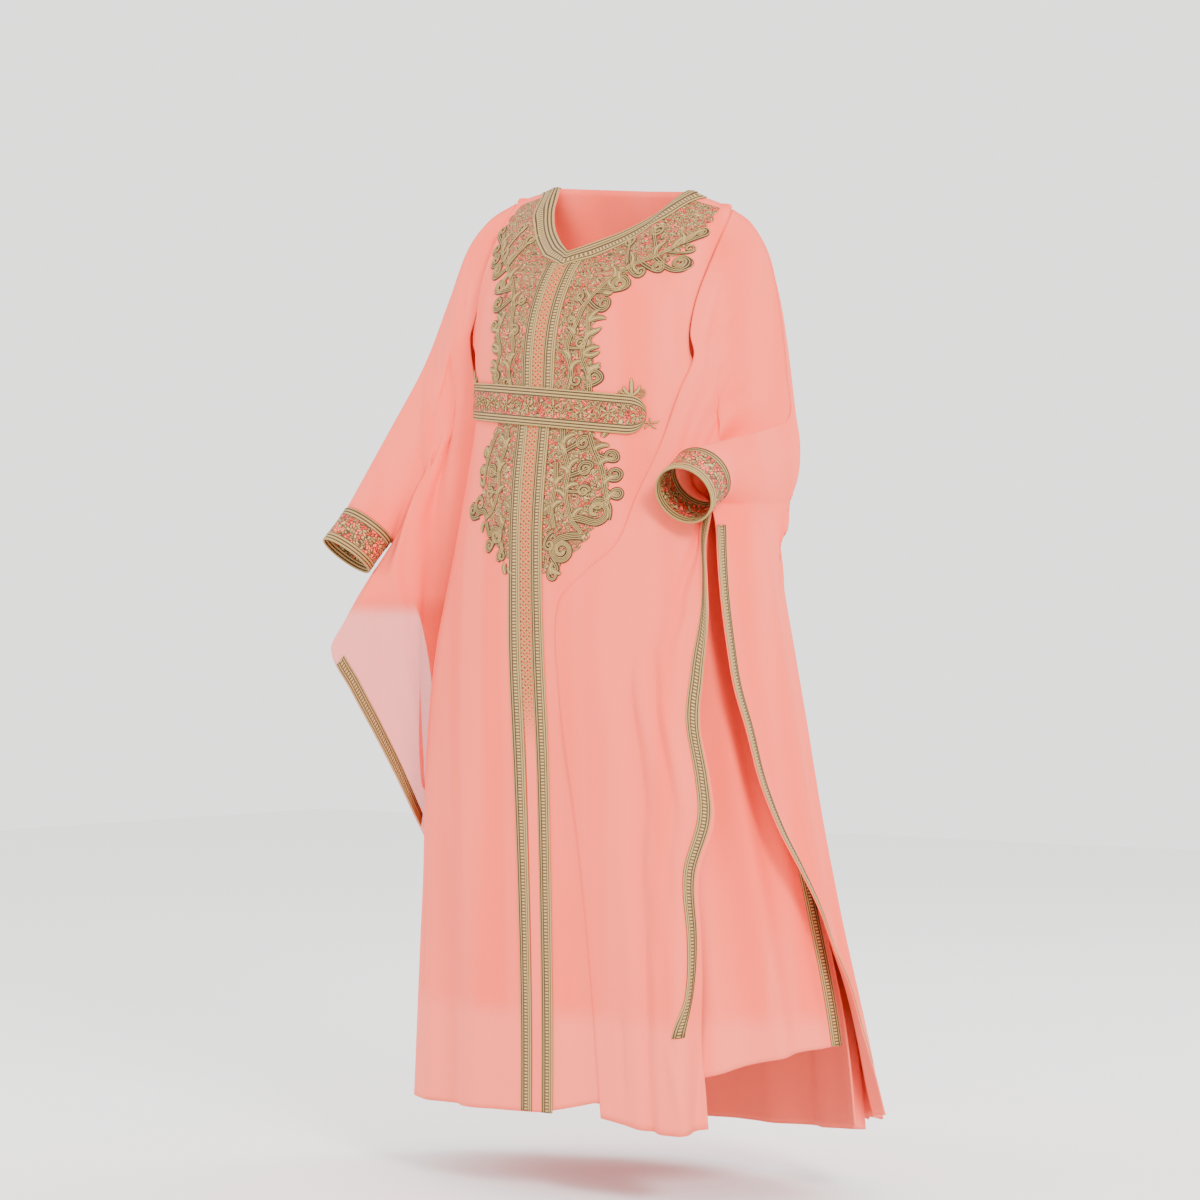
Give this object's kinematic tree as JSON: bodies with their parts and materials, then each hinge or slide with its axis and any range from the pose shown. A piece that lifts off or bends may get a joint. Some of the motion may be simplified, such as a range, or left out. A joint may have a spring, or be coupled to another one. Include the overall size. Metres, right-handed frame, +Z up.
{
  "type": "abaya",
  "caption": "Ankle-length butterfly abaya with a V neck, winged sleeves on wrist cuffs, gold braid and scroll embroidery, in the hollow shape it takes when worn.",
  "frame": {"origin": "middle of the shoulder line at the neck, where the wearer's shoulders carry the garment", "axes": "+Z up along the wearer, -Y the front, +X the wearer's left"},
  "size_m": [0.862, 0.4958, 1.44],
  "materials": {
    "cloth": "sheer matt crepe over a matching plain cloth",
    "gold_braid": "woven metallic braid with a soft sheen",
    "embroidery": "metallic thread and cord laid on the cloth"
  },
  "bodies": {
    "root": {"front": "cloth", "back": "cloth", "sleeve_left_front": "cloth", "wing_left_front": "cloth", "sleeve_left_back": "cloth", "wing_left_back": "cloth", "sleeve_right_front": "cloth", "wing_right_front": "cloth", "sleeve_right_back": "cloth", "wing_right_back": "cloth", "cuff_left": "gold_braid", "cuff_right": "gold_braid", "neck_band": "gold_braid", "placket_braid_right": "gold_braid", "placket_strip": "embroidery", "placket_braid_left": "gold_braid", "yoke_left": "embroidery", "yoke_right": "embroidery", "skirt_left": "embroidery", "skirt_right": "embroidery", "belt": "gold_braid", "wing_braid_left_front": "gold_braid", "wing_braid_left_back": "gold_braid", "wing_braid_right_front": "gold_braid", "wing_braid_right_back": "gold_braid", "slit_braid_right": "gold_braid", "slit_braid_left": "gold_braid"}
  },
  "joints": []
}
